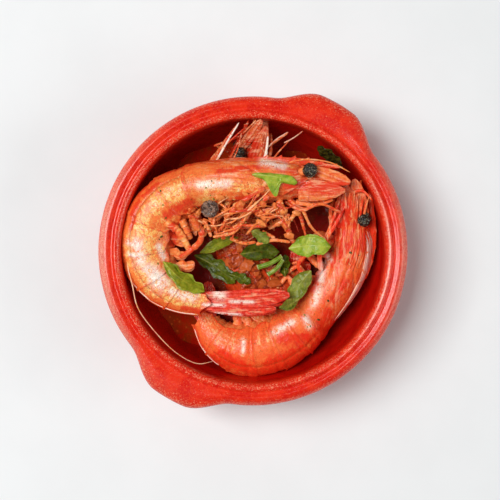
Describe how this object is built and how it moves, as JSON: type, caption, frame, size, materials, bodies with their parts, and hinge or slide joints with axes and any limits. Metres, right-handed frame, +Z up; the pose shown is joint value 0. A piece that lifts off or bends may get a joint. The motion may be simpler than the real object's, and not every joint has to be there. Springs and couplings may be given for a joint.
{
  "type": "bowl of grilled prawns",
  "caption": "Small round glazed clay dish with two lugs, holding whole grilled prawns curled across one another under torn parsley.",
  "frame": {"origin": "centre of the flat foot that the dish stands on", "axes": "+Z up through the mouth of the dish; +X to the right and +Y to the far side as seen from above, with one lug at 60 degrees from +X towards +Y and the other opposite"},
  "size_m": [0.125, 0.1272, 0.0458],
  "materials": {
    "glaze": "bright red glaze, glossy, speckled lighter on the rim and lugs",
    "shell": "oiled cooked shell, glossy, orange and cream patches with red bands and fine dark specks",
    "parsley": "fresh leaf, satin, bright to dark green",
    "stalk": "fresh stalk, satin, light green",
    "pepper": "wrinkled dark brown, dull",
    "dark_leaf": "dried leaf, dull, very dark olive brown"
  },
  "bodies": {
    "root": {"bowl": "glaze", "prawn_top": "shell", "prawn_right": "shell", "prawn_back": "shell", "leaf_on_shell": "parsley", "leaf_on_tail": "parsley", "leaf_by_legs": "parsley", "leaf_in_gap": "parsley", "leaf_in_middle": "parsley", "leaf_small_dark": "parsley", "leaf_large_bright": "parsley", "leaf_olive": "parsley", "leaf_below_olive": "parsley", "leaf_grey_green": "parsley", "leaf_under_stalks": "parsley", "stalk_across": "stalk", "stalk_beside": "stalk", "peppercorn": "pepper", "leaf_on_wall": "dark_leaf"}
  },
  "joints": []
}
